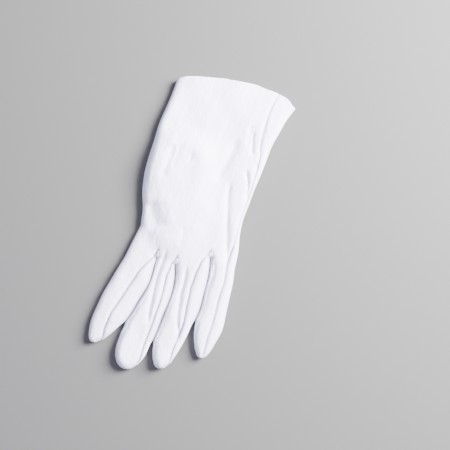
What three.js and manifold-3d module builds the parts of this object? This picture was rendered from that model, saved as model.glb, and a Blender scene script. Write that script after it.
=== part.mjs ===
// A white knitted-cotton parade glove for the left hand, lying back up with its thumb folded under
// the palm. Millimetres. +Y points to the fingertips, +X to the index finger's side, and the glove
// rests on z = 0. Each piece of cloth is a wall of its own, sewn edge to edge with its neighbours.

import * as THREE from 'three';
import Module from 'manifold-3d';
import { mergeVertices } from 'three/addons/utils/BufferGeometryUtils.js';

// Hand: lengths from the cuff to the crotches of the fingers, and flat widths
const PALM_LENGTH = 160;
const CUFF_WIDTH = 97;
const WRIST_WIDTH = 88;
const KNUCKLE_WIDTH = 82;
const CUFF_BOW = 9.8;
const CUFF_SLANT = 6.1;

// Fingers: lengths from the root to the tip, and flat widths
const INDEX_LENGTH = 87;
const MIDDLE_LENGTH = 96;
const RING_LENGTH = 91.5;
const LITTLE_LENGTH = 81.5;
const INDEX_WIDTH = 27.8;
const MIDDLE_WIDTH = 26.8;
const RING_WIDTH = 24;
const LITTLE_WIDTH = 22;
const FINGER_CLEARANCE = 1.6;
const FOURCHETTE_POINT = 9;

// Cloth: wall, clear gap at a seam, heights of the puffed cloth over the surface it lies on
const WALL = 1.1;
const SEAM_GAP = 0.5;
const CUFF_HEIGHT = 9.4;
const HAND_HEIGHT = 10.4;
const FINGER_HEIGHT = 9.2;
const EDGE_HEIGHT = 3.7;
const BACK_ROUNDING = 6.5;
const PALM_ROUNDING = 3.8;

// Seams: how far each lies in from the edge of the lying glove
const SIDE_SEAM_UNDER = 5;
const SIDE_SEAM_OVER = 6.5;
const NEAR_SEAM_TOP = 2.6;
const NEAR_SEAM_UNDER = 5;
const FAR_SEAM_UNDER = 2.6;

// Thumb: a flattened tube below the palm, with an oval way into it from the hand
const THUMB_LENGTH = 77;
const THUMB_WIDTH = 28;
const THUMB_HEIGHT = 6.8;
const THUMB_ROUNDING = 3.2;
const THUMB_LEAN = 15;
const THUMB_BASE_X = 27.5;
const THUMB_BASE_Y = -95;
const THUMB_HOLE_LENGTH = 32;
const THUMB_HOLE_WIDTH = 17;
const THUMB_HOLE_START = 6;
const THUMB_MARGIN = 2.5;
const THUMB_DRAPE = 8;
const BACK_DRAPE = 20;

// The puffed back follows the folded thumb by this share of its height
const BACK_FOLLOWS_SHARE = 0.62;

const COTTON = { color: 0xf4f3f7, roughness: 0.92, metalness: 0 };

// Sides of the hand from the cuff to the knuckles, as shares of the width that each row follows
const HAND_SIDES = [
  { along: 0.00, of: CUFF_WIDTH, thumb_side: 0.462, little_side: 0.538 },
  { along: 0.12, of: CUFF_WIDTH, thumb_side: 0.470, little_side: 0.491 },
  { along: 0.25, of: WRIST_WIDTH, thumb_side: 0.534, little_side: 0.502 },
  { along: 0.45, of: WRIST_WIDTH, thumb_side: 0.540, little_side: 0.485 },
  { along: 0.60, of: WRIST_WIDTH, thumb_side: 0.534, little_side: 0.464 },
  { along: 0.75, of: KNUCKLE_WIDTH, thumb_side: 0.543, little_side: 0.487 },
  { along: 0.88, of: KNUCKLE_WIDTH, thumb_side: 0.491, little_side: 0.498 },
  { along: 1.00, of: KNUCKLE_WIDTH, thumb_side: 0.470, little_side: 0.530 },
];

// Where the sides of the hand end and the crotches lie, as shares of the knuckle width: across from
// the middle of the hand towards the thumb, and ahead of the palm's length
const INDEX_SIDE = { across: 0.470, ahead: -0.262 };
const CROTCHES = [
  { name: 'fourchette_index_middle', across: 0.2195, ahead: -0.002 },
  { name: 'fourchette_middle_ring', across: 0.0195, ahead: 0.011 },
  { name: 'fourchette_ring_little', across: -0.293, ahead: -0.159 },
];
const LITTLE_SIDE = { across: -0.530, ahead: -0.335 };

// Fingers from the index: the root as shares of the knuckle width, the lean in degrees towards the
// thumb, the share of the length where the round end starts, the share of the width that the seam
// on top stands in from the finger's far edge, and the half widths along the finger as shares of
// its width
const ALONG = [0.15, 0.3, 0.5, 0.7, 0.85, 1];
const FINGERS = [
  {
    length: INDEX_LENGTH, width: INDEX_WIDTH, across: 0.370, ahead: -0.043, lean: 11.7, round_from: 0.55,
    top_seam: 0.50,
    thumb_side: [0.39, 0.39, 0.40, 0.395, 0.40, 0.40],
    little_side: [0.52, 0.58, 0.60, 0.56, 0.49, 0.44],
  },
  {
    length: MIDDLE_LENGTH, width: MIDDLE_WIDTH, across: 0.121, ahead: -0.018, lean: 3.4, round_from: 0.8,
    top_seam: 0.32,
    thumb_side: [0.21, 0.20, 0.36, 0.475, 0.49, 0.50],
    little_side: [0.40, 0.47, 0.49, 0.48, 0.46, 0.45],
  },
  {
    length: RING_LENGTH, width: RING_WIDTH, across: -0.137, ahead: -0.071, lean: 0.1, round_from: 0.7,
    top_seam: 0.46,
    thumb_side: [0.37, 0.27, 0.32, 0.39, 0.44, 0.44],
    little_side: [0.62, 0.66, 0.65, 0.55, 0.50, 0.50],
  },
  {
    length: LITTLE_LENGTH, width: LITTLE_WIDTH, across: -0.437, ahead: -0.177, lean: -4, round_from: 0.6,
    top_seam: 0.30,
    thumb_side: [0.40, 0.37, 0.42, 0.49, 0.49, 0.48],
    little_side: [0.49, 0.51, 0.54, 0.53, 0.48, 0.46],
  },
];

// How the seams beside a finger run out at its root and near its tip, as shares of their set-in
const SEAM_RUN = {
  along: [0, 0.05, 0.1, 0.17, 0.28, 0.7, 0.85, 0.94, 0.97, 1],
  share: [0, 0.22, 0.45, 0.75, 1, 1, 0.6, 0.1, 0, 0],
};

// Where the side seam lies on the back: shares of its set-in from the little finger's edge, from the
// cuff at 0 past the knuckles at 1 to the little finger's tip at 2
const SIDE_SEAM = {
  along: [0, 0.11, 0.36, 0.47, 0.57, 0.7, 0.82, 0.9, 1, 1.1, 1.25, 1.5, 1.75, 2],
  share: [2.6, 2.3, 1.05, 0.7, 0.46, 0.35, 0.32, 0.42, 0.88, 1.13, 1.27, 1.48, 1.42, 1.3],
};

// Folds of the back as straight runs between two points, as shares of the knuckle width across and
// of the palm's length ahead of the cuff; width and depth as shares of the hand's height
const FOLDS = [
  { from: [-0.193, 0.28], to: [-0.110, 0.53], width: 0.55, depth: -0.10 },
  { from: [-0.325, 0.22], to: [-0.374, 0.35], width: 0.40, depth: -0.10 },
  { from: [0.388, 0.41], to: [0.401, 0.59], width: 0.50, depth: -0.09 },
  { from: [-0.240, 0.48], to: [-0.424, 0.86], width: 0.45, depth: -0.12 },
  { from: [0.146, 0.90], to: [0.156, 1.11], width: 0.28, depth: -0.20 },
  { from: [0.156, 1.11], to: [0.105, 1.31], width: 0.28, depth: -0.17 },
  { from: [-0.079, 0.97], to: [-0.104, 1.08], width: 0.28, depth: -0.17 },
  { from: [-0.104, 1.08], to: [-0.240, 1.33], width: 0.28, depth: -0.20 },
];

// Fineness of the faceted walls
const HAND_ROWS = [
  0, 0.04, 0.12, 0.2, 0.28, 0.35, 0.42, 0.49, 0.56, 0.63, 0.7, 0.77, 0.84, 0.9, 0.95, 1,
];
const FINGER_ROWS = [0, 0.05, 0.1, 0.17, 0.27, 0.38, 0.5, 0.61, 0.72, 0.81, 0.88, 0.94, 0.975, 1];
const CROTCH_SHARE = 0.1;
const FOURCHETTE_END_SHARE = 0.94;
const RIM_SHARES = [0.06, 0.3, 0.65, 1];
const CELLS = { back: [3, 5, 6, 4], palm: [6, 5, 6, 4] };
const OVER_SHARE = 0.4;
const UNDER_SHARE = 0.3;
const SLIM_FROM = 1.5;
const WELD = 0.0001;
const OVAL_STEPS = 24;
const OUTLINE_STEPS = 28;
const PROBE = 0.4;
const FOURCHETTE_SHARES = [0.12, 0.4, 0.7, 1];
const FOURCHETTE_EASE_SHARE = 1.3;
const STEEPEST_SEAM_SHARE = 0.3;
const THUMB_ROWS = 16;
const THUMB_SIDES = 20;
const THUMB_EDGE_SHARE = 0.42;
const THUMB_FLATNESS_SHARE = 0.55;

const DEGREES = Math.PI / 180;
const CROTCH_LINE = PALM_LENGTH;
const smooth = (t) => {
  const c = Math.min(1, Math.max(0, t));
  return c * c * (3 - 2 * c);
};
const mix = (a, b, t) => a + (b - a) * t;
const between = (p, q, t) => ({ x: mix(p.x, q.x, t), y: mix(p.y, q.y, t) });
const span = (p, q) => Math.hypot(q.x - p.x, q.y - p.y);

// A smooth curve through (at[i], value[i]), straight where a list has two entries
function curve(at, value, t) {
  let i = 0;
  while (i < at.length - 2 && t > at[i + 1]) i += 1;
  const slope = (k) => {
    const a = Math.max(0, k - 1);
    const b = Math.min(at.length - 1, k + 1);
    return (value[b] - value[a]) / (at[b] - at[a]);
  };
  const step = at[i + 1] - at[i];
  const u = (t - at[i]) / step;
  const h00 = (1 + 2 * u) * (1 - u) * (1 - u);
  const h01 = u * u * (3 - 2 * u);
  return h00 * value[i] + h01 * value[i + 1]
    + u * (1 - u) * step * ((1 - u) * slope(i) - u * slope(i + 1));
}

// The same through straight stretches
function stretches(at, value, t) {
  let i = 0;
  while (i < at.length - 2 && t > at[i + 1]) i += 1;
  return mix(value[i], value[i + 1], Math.min(1, (t - at[i]) / (at[i + 1] - at[i])));
}

// Plan of the hand
const column = (rows, key) => rows.map((row) => row[key]);
const knucklePoint = (place, back = 0) => ({
  x: place.across * KNUCKLE_WIDTH,
  y: CROTCH_LINE + place.ahead * KNUCKLE_WIDTH - back,
});
const KNUCKLE_ROW = [
  knucklePoint(INDEX_SIDE),
  ...CROTCHES.map((place) => knucklePoint(place, FOURCHETTE_POINT)),
  knucklePoint(LITTLE_SIDE),
];
const LITTLE = FINGERS.length - 1;
const isCrotch = (node) => node > 0 && node <= LITTLE;
const crossShare = (i) => (
  (KNUCKLE_ROW[0].x - KNUCKLE_ROW[i].x) / (KNUCKLE_ROW[0].x - KNUCKLE_ROW.at(-1).x));

function handSide(side, along) {
  const reach = HAND_SIDES.map((row) => row[side] * row.of);
  return curve(column(HAND_SIDES, 'along'), reach, along);
}

// Point i of the row at this share from the cuff to the knuckles: 0 and 4 are the hand's edges
function handPoint(i, along) {
  const u = crossShare(i);
  const x = mix(handSide('thumb_side', along), -handSide('little_side', along), u);
  const cuff = CUFF_BOW * (1 - 2 * u) ** 2 + CUFF_SLANT * (1 - u);
  return { x, y: mix(cuff, KNUCKLE_ROW[i].y, along) };
}

// Plan of the fingers
function fingerPoint(finger, along, lateral) {
  const lean = finger.lean * DEGREES;
  const root = knucklePoint(finger);
  const ahead = along * finger.length;
  return {
    x: root.x + ahead * Math.sin(lean) + lateral * Math.cos(lean),
    y: root.y + ahead * Math.cos(lean) - lateral * Math.sin(lean),
  };
}

function alongFinger(finger, point) {
  const lean = finger.lean * DEGREES;
  const root = knucklePoint(finger);
  const x = point.x - root.x;
  const y = point.y - root.y;
  return {
    along: (x * Math.sin(lean) + y * Math.cos(lean)) / finger.length,
    lateral: x * Math.cos(lean) - y * Math.sin(lean),
  };
}

// The edge of finger i on one side, from its start on the knuckle row (0) to its tip (1)
function fingerEdge(i, side, along) {
  const finger = FINGERS[i];
  const sign = side === 'thumb_side' ? 1 : -1;
  const node = side === 'thumb_side' ? i : i + 1;
  const start = KNUCKLE_ROW[node];
  const reach = finger[side].map((share) => sign * share * finger.width);
  if (!isCrotch(node)) {
    const foot = alongFinger(finger, start);
    const at = mix(foot.along, 1, along);
    return capped(finger, [foot.along, ...ALONG], [foot.lateral, ...reach], at);
  }
  const crotch = knucklePoint(CROTCHES[node - 1]);
  crotch.x += -sign * FINGER_CLEARANCE / 2;
  if (along <= CROTCH_SHARE) return between(start, crotch, along / CROTCH_SHARE);
  const foot = alongFinger(finger, crotch);
  const at = mix(foot.along, 1, (along - CROTCH_SHARE) / (1 - CROTCH_SHARE));
  return capped(finger, [foot.along, ...ALONG], [foot.lateral, ...reach], at);
}

// A point of a finger's edge, drawn in to the round end
function capped(finger, at, reach, along) {
  const t = Math.max(0, (along - finger.round_from) / (1 - finger.round_from));
  const round = Math.sqrt(Math.max(0, 1 - t * t));
  return fingerPoint(finger, along, curve(at, reach, along) * round);
}

// Outline of the hand and fingers, open at the cuff
const OUTLINE = [];
const eased = (k) => Math.sin(k / OUTLINE_STEPS * Math.PI / 2);
for (let k = 0; k <= OUTLINE_STEPS; k += 1) OUTLINE.push(handPoint(0, k / OUTLINE_STEPS));
FINGERS.forEach((finger, i) => {
  const first = i === 0 ? 0 : CROTCH_SHARE;
  const last = i === 3 ? 0 : CROTCH_SHARE;
  for (let k = 0; k <= OUTLINE_STEPS; k += 1) {
    OUTLINE.push(fingerEdge(i, 'thumb_side', mix(first, 1, eased(k))));
  }
  for (let k = OUTLINE_STEPS; k >= 0; k -= 1) {
    OUTLINE.push(fingerEdge(i, 'little_side', mix(last, 1, eased(k))));
  }
});
for (let k = OUTLINE_STEPS; k >= 0; k -= 1) OUTLINE.push(handPoint(4, k / OUTLINE_STEPS));
OUTLINE.unshift({ x: OUTLINE[0].x, y: -PALM_LENGTH });
OUTLINE.push({ x: OUTLINE[OUTLINE.length - 1].x, y: -PALM_LENGTH });

// How far a point lies from a run of points, and the direction away from it
function nearest(points, p) {
  let best = Infinity;
  let away = { x: 0, y: 1 };
  for (let k = 1; k < points.length; k += 1) {
    const a = points[k - 1];
    const b = points[k];
    const run = { x: b.x - a.x, y: b.y - a.y };
    const length2 = run.x ** 2 + run.y ** 2;
    if (length2 === 0) continue;
    const t = ((p.x - a.x) * run.x + (p.y - a.y) * run.y) / length2;
    const q = between(a, b, Math.min(1, Math.max(0, t)));
    const distance = span(q, p);
    if (distance < best) {
      best = distance;
      away = { x: (p.x - q.x) / (distance || 1), y: (p.y - q.y) / (distance || 1) };
    }
  }
  return { distance: best, away };
}

// Plan of the thumb, as half widths along its length from the base to the tip
const THUMB_DIRECTION = { x: -Math.sin(THUMB_LEAN * DEGREES), y: Math.cos(THUMB_LEAN * DEGREES) };
const THUMB_BASE = { x: THUMB_BASE_X, y: CROTCH_LINE + THUMB_BASE_Y };
const THUMB_TAPER = { along: [0, 0.3, 0.65, 1], share: [1, 1, 0.9, 0.78] };
const thumbPoint = (ahead, lateral) => ({
  x: THUMB_BASE.x + ahead * THUMB_DIRECTION.x + lateral * THUMB_DIRECTION.y,
  y: THUMB_BASE.y + ahead * THUMB_DIRECTION.y - lateral * THUMB_DIRECTION.x,
});

// Half width of the thumb, drawn in by an inset at its round ends and sides
function thumbHalf(along, inset) {
  const full = curve(THUMB_TAPER.along, THUMB_TAPER.share, along) * THUMB_WIDTH / 2;
  const ahead = along * THUMB_LENGTH;
  const end = Math.min(ahead, THUMB_LENGTH - ahead) - inset;
  const short = Math.max(0, full - inset);
  if (end >= short) return short;
  const t = 1 - Math.max(0, end) / short;
  return short * Math.sqrt(Math.max(0, 1 - t * t));
}

const THUMB_OUTLINE = [];
for (const side of [1, -1]) {
  for (let k = 0; k <= OUTLINE_STEPS; k += 1) {
    const share = side > 0 ? k / OUTLINE_STEPS : 1 - k / OUTLINE_STEPS;
    const along = (1 - Math.cos(share * Math.PI)) / 2;
    THUMB_OUTLINE.push(thumbPoint(along * THUMB_LENGTH, side * thumbHalf(along, 0)));
  }
}

function beyondThumb(p) {
  const { distance } = nearest(THUMB_OUTLINE, p);
  const x = p.x - THUMB_BASE.x;
  const y = p.y - THUMB_BASE.y;
  const ahead = x * THUMB_DIRECTION.x + y * THUMB_DIRECTION.y;
  const lateral = x * THUMB_DIRECTION.y - y * THUMB_DIRECTION.x;
  const inside = ahead > 0 && ahead < THUMB_LENGTH
    && Math.abs(lateral) < thumbHalf(ahead / THUMB_LENGTH, 0);
  return inside ? 0 : distance;
}

// Heights of the puffed back and of the palm over the surface, before their rounded edges
const PALM_OVER_THUMB = THUMB_HEIGHT + SEAM_GAP;
function palmHeight(p) {
  const beyond = (beyondThumb(p) - THUMB_MARGIN) / THUMB_DRAPE;
  return PALM_OVER_THUMB * (1 - smooth(beyond));
}

function backHeight(p) {
  const share = p.y / CROTCH_LINE;
  const base = share < 0.5
    ? mix(CUFF_HEIGHT, HAND_HEIGHT, smooth(share * 2))
    : mix(HAND_HEIGHT, FINGER_HEIGHT, smooth(share * 2 - 1));
  const over = PALM_OVER_THUMB * BACK_FOLLOWS_SHARE * (1 - smooth(beyondThumb(p) / BACK_DRAPE));
  let folds = 0;
  for (const fold of FOLDS) {
    const from = { x: fold.from[0] * KNUCKLE_WIDTH, y: fold.from[1] * PALM_LENGTH };
    const to = { x: fold.to[0] * KNUCKLE_WIDTH, y: fold.to[1] * PALM_LENGTH };
    const off = nearest([from, to], p).distance / (fold.width * HAND_HEIGHT);
    folds += fold.depth * HAND_HEIGHT * Math.exp(-off * off);
  }
  return base + over + folds;
}

// A point of the cloth's outside and its direction out, on the back or on the palm sheet
function clothPoint(p, sheet, edge = false, lift = 0) {
  const up = sheet === 'back' ? 1 : -1;
  const rounding = sheet === 'back' ? BACK_ROUNDING : PALM_ROUNDING;
  const height = sheet === 'back' ? backHeight : palmHeight;
  const { distance, away } = nearest(OUTLINE, edge ? edge : p);
  const d = edge ? 0 : distance;
  const rise = height(p) - EDGE_HEIGHT;
  const turn = Math.max(0, 1 - d / rounding);
  const part = Math.sqrt(Math.max(0, 1 - turn * turn));
  const z = EDGE_HEIGHT + rise * part + up * lift;
  const reach = 2 * PROBE;
  const slopeX = (height({ x: p.x + PROBE, y: p.y }) - height({ x: p.x - PROBE, y: p.y })) / reach;
  const slopeY = (height({ x: p.x, y: p.y + PROBE }) - height({ x: p.x, y: p.y - PROBE })) / reach;
  const steep = rise * turn / rounding;
  const out = new THREE.Vector3(
    -up * (slopeX * part * part + steep * away.x),
    -up * (slopeY * part * part + steep * away.y),
    up * part,
  );
  if (edge) out.set(-away.x, -away.y, 0);
  return { outside: new THREE.Vector3(p.x, p.y, z), out: out.normalize() };
}

// A wall of cloth: the outside faces, the same faces one wall deeper, and the cut edges
function clothWall(rows) {
  const points = [];
  const names = new Map();
  const faces = [];
  const number = (point) => {
    const name = point.outside.toArray().map((c) => c.toFixed(4)).join();
    if (!names.has(name)) {
      names.set(name, points.length);
      points.push(point);
    }
    return names.get(name);
  };
  const face = (a, b, c) => {
    if (a !== b && b !== c && c !== a) faces.push([a, b, c]);
  };
  for (const { near, far } of rows) {
    for (let j = 1; j < near.length; j += 1) {
      const [a, b, c, d] = [near[j - 1], near[j], far[j], far[j - 1]].map(number);
      face(a, b, c);
      face(a, c, d);
    }
  }
  const count = points.length;
  const open = new Map();
  for (const [a, b, c] of faces) {
    for (const [from, to] of [[a, b], [b, c], [c, a]]) {
      if (open.has(`${to}_${from}`)) open.delete(`${to}_${from}`);
      else open.set(`${from}_${to}`, [from, to]);
    }
  }
  const index = [];
  for (const [a, b, c] of faces) index.push(a, b, c, c + count, b + count, a + count);
  for (const [from, to] of open.values()) {
    index.push(to, from, from + count, to, from + count, to + count);
  }
  const inside = points.map((p) => p.outside.clone().addScaledVector(p.out, -WALL));
  const places = [...points.map((p) => p.outside), ...inside].flatMap((v) => v.toArray());
  const geometry = new THREE.BufferGeometry();
  geometry.setAttribute('position', new THREE.Float32BufferAttribute(places, 3));
  geometry.setIndex(index);
  return geometry;
}

// Points across one strip of a sheet, from p to q, between two set-ins
function acrossStrip(p, q, sheet, from, to, cells, lifts) {
  const length = span(p, q);
  const points = [];
  for (let k = 0; k <= cells; k += 1) {
    const at = mix(from, length - to, k / cells);
    const edge = (k === 0 && from <= 0 && lifts.from) || (k === cells && to <= 0 && lifts.to);
    const inward = between(p, q, k === 0 ? PROBE / length : 1 - PROBE / length);
    const place = between(p, q, at / length);
    points.push(clothPoint(place, sheet, edge ? inward : false, edge ? SEAM_GAP / 2 : 0));
  }
  return points;
}

// Points round an edge of the glove, from one sheet to the other, p being on the edge
function roundEdge(p, q, first, second, underTo, overTo) {
  const length = span(p, q);
  const place = (d) => between(p, q, d / length);
  const points = [];
  for (const share of [...RIM_SHARES].reverse()) {
    points.push(clothPoint(place(share * underTo), first));
  }
  points.push(clothPoint(p, first, place(PROBE)));
  for (const share of RIM_SHARES) points.push(clothPoint(place(share * overTo), second));
  return points;
}

// The one point where a finger's strip ends, once for each point across it
function tipPoints(sheet, i) {
  const tip = fingerEdge(i, 'thumb_side', 1);
  const inward = fingerPoint(FINGERS[i], 1 - PROBE / FINGERS[i].length, 0);
  return Array(handStrip(sheet, i, 1).length).fill(clothPoint(tip, sheet, inward, SEAM_GAP / 2));
}

// One strip of the back or palm, over finger i or the part of the hand below it. The back turns
// under at the index finger's edge, and the palm turns up over the little finger's edge.
function stripPoints(panel, i, p, q, run, along, onFinger) {
  const finger = FINGERS[i];
  const sheet = panel;
  const cells = CELLS[panel][i];
  const width = span(p, q);
  const narrow = Math.min(1, width / finger.width);
  const near = panel === 'back' ? NEAR_SEAM_TOP : NEAR_SEAM_UNDER;
  const far = panel === 'back' ? finger.top_seam * finger.width : FAR_SEAM_UNDER;
  const fromInset = onFinger && isCrotch(i) ? near * run : 0;
  const toInset = onFinger && isCrotch(i + 1) ? far * run * narrow : 0;
  const lifts = { from: onFinger && isCrotch(i), to: onFinger && isCrotch(i + 1) };
  const slim = Math.min(1, narrow * SLIM_FROM);
  const over = Math.min(BACK_ROUNDING, width * OVER_SHARE) * slim;
  if (i === 0) {
    const under = SIDE_SEAM_UNDER * narrow;
    if (panel === 'palm') return acrossStrip(p, q, sheet, under + SEAM_GAP, toInset, cells, lifts);
    const turned = roundEdge(p, q, 'palm', 'back', under, over);
    return [...turned, ...acrossStrip(p, q, sheet, over, toInset, cells, lifts).slice(1)];
  }
  if (i === LITTLE) {
    const seam = SIDE_SEAM_OVER * narrow * curve(SIDE_SEAM.along, SIDE_SEAM.share, along);
    if (panel === 'back') return acrossStrip(p, q, sheet, fromInset, seam + SEAM_GAP, cells, lifts);
    const under = Math.min(PALM_ROUNDING, width * UNDER_SHARE) * slim;
    const turned = roundEdge(q, p, 'palm', 'back', under, seam);
    return [...acrossStrip(p, q, sheet, fromInset, under, cells, lifts).slice(0, -1), ...turned];
  }
  return acrossStrip(p, q, sheet, fromInset, toInset, cells, lifts);
}

// Points across finger i at this share of its length, or of the hand's row below it
function fingerRow(panel, i, along) {
  if (along === 0) return handStrip(panel, i, 1);
  if (along === 1) return tipPoints(panel, i);
  const p = fingerEdge(i, 'thumb_side', along);
  const q = fingerEdge(i, 'little_side', along);
  return stripPoints(panel, i, p, q, stretches(SEAM_RUN.along, SEAM_RUN.share, along), 1 + along, true);
}

const handStrip = (panel, i, along) => (
  stripPoints(panel, i, handPoint(i, along), handPoint(i + 1, along), 0, along, false));

const handRow = (panel, along) => FINGERS.flatMap((finger, i) => (
  handStrip(panel, i, along).slice(i === 0 ? 0 : 1)));

// The back or the palm: a panel of the hand that splits into four finger strips at the knuckles
function panelWall(panel) {
  const rows = [];
  const strips = (list, row) => {
    for (let k = 1; k < list.length; k += 1) {
      const lower = row(list[k - 1]);
      const upper = row(list[k]);
      rows.push(panel === 'back' ? { near: upper, far: lower } : { near: lower, far: upper });
    }
  };
  strips(HAND_ROWS, (along) => handRow(panel, along));
  FINGERS.forEach((finger, i) => strips(FINGER_ROWS, (along) => fingerRow(panel, i, along)));
  return clothWall(rows);
}

// One line across a fourchette: from its seam with the back, round the finger's edge, to its seam
// with the palm, a clear gap short of both seams
function fourchetteLine(line, before, after) {
  const { edge, inward } = line;
  const points = [];
  const run = (seam, sheet, share) => {
    const tangent = { x: after[seam].x - before[seam].x, y: after[seam].y - before[seam].y };
    const across = { x: edge.x - line[seam].x, y: edge.y - line[seam].y };
    const length = Math.hypot(across.x, across.y);
    const turned = Math.abs(tangent.x * across.y - tangent.y * across.x)
      / (Math.hypot(tangent.x, tangent.y) * length);
    const gap = SEAM_GAP * FOURCHETTE_EASE_SHARE / Math.max(STEEPEST_SEAM_SHARE, turned);
    return clothPoint(between(edge, line[seam], share * Math.max(0, length - gap) / length), sheet);
  };
  for (const share of [...FOURCHETTE_SHARES].reverse()) points.push(run('top', 'back', share));
  points.push(clothPoint(edge, 'back', inward));
  for (const share of FOURCHETTE_SHARES) points.push(run('under', 'palm', share));
  return points;
}

// The seams of a fourchette and the finger's edge, on one side of a finger
function sideLine(finger, side, along) {
  const run = stretches(SEAM_RUN.along, SEAM_RUN.share, along);
  const p = fingerEdge(finger, side, along);
  const q = fingerEdge(finger, side === 'thumb_side' ? 'little_side' : 'thumb_side', along);
  const width = span(p, q);
  const full = FINGERS[finger].width;
  const narrow = Math.min(1, width / full);
  const far = side === 'little_side';
  const top = far ? FINGERS[finger].top_seam * full * run * narrow : NEAR_SEAM_TOP * run;
  const under = far ? FAR_SEAM_UNDER * run * narrow : NEAR_SEAM_UNDER * run;
  return {
    edge: p,
    top: between(p, q, top / width),
    under: between(p, q, under / width),
    inward: between(p, q, PROBE / width),
  };
}

// A fourchette: the strip that lines the gap between finger i and finger i + 1, from near one
// finger's tip down round the crotch and up to near the other's
function fourchetteWall(i) {
  const lined = (along) => along >= CROTCH_SHARE && along <= FOURCHETTE_END_SHARE;
  const steps = FINGER_ROWS.filter(lined);
  const crotch = knucklePoint(CROTCHES[i]);
  const fan = [
    { finger: i, side: 'little_side', along: CROTCH_SHARE / 2, turn: 45 },
    { finger: i, side: 'little_side', along: 0, turn: 90 },
    { finger: i + 1, side: 'thumb_side', along: CROTCH_SHARE / 2, turn: 135 },
  ];
  const round = fan.map(({ finger, side, along, turn }) => {
    const reach = FINGER_CLEARANCE / 2;
    const edge = {
      x: crotch.x + reach * Math.cos(turn * DEGREES),
      y: crotch.y - reach * Math.sin(turn * DEGREES),
    };
    const { top, under } = sideLine(finger, side, along);
    return { edge, top, under, inward: between(edge, top, PROBE / span(edge, top)) };
  });
  const lines = [
    ...[...steps].reverse().map((along) => sideLine(i, 'little_side', along)),
    ...round,
    ...steps.map((along) => sideLine(i + 1, 'thumb_side', along)),
  ];
  const last = lines.length - 1;
  const cloth = lines.map((line, k) => (
    fourchetteLine(line, lines[Math.max(0, k - 1)], lines[Math.min(last, k + 1)])));
  const rows = [];
  for (let k = 1; k < cloth.length; k += 1) rows.push({ near: cloth[k - 1], far: cloth[k] });
  return clothWall(rows);
}

// Solids for the thumb, whose hollow opens into the hand
const wasm = await Module();
wasm.setup();

function toSolid(geometry) {
  const bare = geometry.clone();
  bare.deleteAttribute('normal');
  bare.deleteAttribute('uv');
  const merged = mergeVertices(bare, WELD);
  return new wasm.Manifold(new wasm.Mesh({
    numProp: 3,
    vertProperties: new Float32Array(merged.attributes.position.array),
    triVerts: new Uint32Array(merged.index.array),
  }));
}

function toGeometry(solid) {
  const mesh = solid.getMesh();
  const geometry = new THREE.BufferGeometry();
  geometry.setAttribute('position', new THREE.BufferAttribute(mesh.vertProperties, 3));
  geometry.setIndex(new THREE.BufferAttribute(mesh.triVerts, 1));
  return geometry;
}

// A flattened tube with round ends along the thumb, drawn in by an inset on every side
function thumbBody(inset) {
  const rings = [];
  const rim = THUMB_HEIGHT * THUMB_EDGE_SHARE;
  for (let k = 0; k <= THUMB_ROWS; k += 1) {
    const share = (1 - Math.cos(k / THUMB_ROWS * Math.PI)) / 2;
    const ahead = mix(inset, THUMB_LENGTH - inset, share);
    const half = thumbHalf(ahead / THUMB_LENGTH, inset);
    const end = Math.min(ahead, THUMB_LENGTH - ahead) - inset;
    const ring = [];
    for (let j = 0; j < THUMB_SIDES; j += 1) {
      const turn = j / THUMB_SIDES * 2 * Math.PI;
      const across = Math.cos(turn);
      const lateral = half * Math.sign(across) * Math.abs(across) ** THUMB_FLATNESS_SHARE;
      const side = Math.max(0, 1 - Math.min(half - Math.abs(lateral), end) / THUMB_ROUNDING);
      const part = Math.sqrt(Math.max(0, 1 - side * side));
      const top = THUMB_HEIGHT - inset - rim;
      const low = rim - inset;
      const flat = thumbPoint(ahead, lateral);
      const onRim = j % (THUMB_SIDES / 2) === 0;
      const reach = 2 * j < THUMB_SIDES ? top : -low;
      ring.push([flat.x, flat.y, onRim ? rim : rim + reach * part]);
    }
    rings.push(ring);
  }
  const tip = (k, along) => {
    const flat = thumbPoint(along, 0);
    rings[k] = [[flat.x, flat.y, rim]];
  };
  tip(0, inset);
  tip(THUMB_ROWS, THUMB_LENGTH - inset);
  const places = rings.flat(2);
  const first = (k) => (k === 0 ? 0 : 1 + (k - 1) * THUMB_SIDES);
  const index = [];
  for (let j = 0; j < THUMB_SIDES; j += 1) {
    const next = (j + 1) % THUMB_SIDES;
    index.push(0, first(1) + j, first(1) + next);
    for (let k = 1; k < THUMB_ROWS - 1; k += 1) {
      const [a, b, c, d] = [first(k) + j, first(k) + next, first(k + 1) + next, first(k + 1) + j];
      index.push(a, c, b, a, d, c);
    }
    index.push(first(THUMB_ROWS - 1) + j, first(THUMB_ROWS), first(THUMB_ROWS - 1) + next);
  }
  const geometry = new THREE.BufferGeometry();
  geometry.setAttribute('position', new THREE.Float32BufferAttribute(places, 3));
  geometry.setIndex(index);
  return geometry;
}

// The oval way from the hand into the thumb, cut through the palm and the thumb's upper wall
function thumbWay() {
  const oval = new THREE.Shape();
  const centre = thumbPoint(THUMB_HOLE_START + THUMB_HOLE_LENGTH / 2, 0);
  const half = { across: THUMB_HOLE_WIDTH / 2, along: THUMB_HOLE_LENGTH / 2 };
  const lean = THUMB_LEAN * DEGREES;
  oval.absellipse(centre.x, centre.y, half.across, half.along, 0, 2 * Math.PI, false, lean);
  const height = PALM_OVER_THUMB + 2 * WALL - THUMB_HEIGHT / 2;
  const upright = { depth: height, bevelEnabled: false, curveSegments: OVAL_STEPS };
  return toSolid(new THREE.ExtrudeGeometry(oval, upright).translate(0, 0, THUMB_HEIGHT / 2));
}

const way = thumbWay();
const palm = toSolid(panelWall('palm')).subtract(way);
const thumb = toSolid(thumbBody(0)).subtract(toSolid(thumbBody(WALL))).subtract(way);

const group = new THREE.Group();

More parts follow.
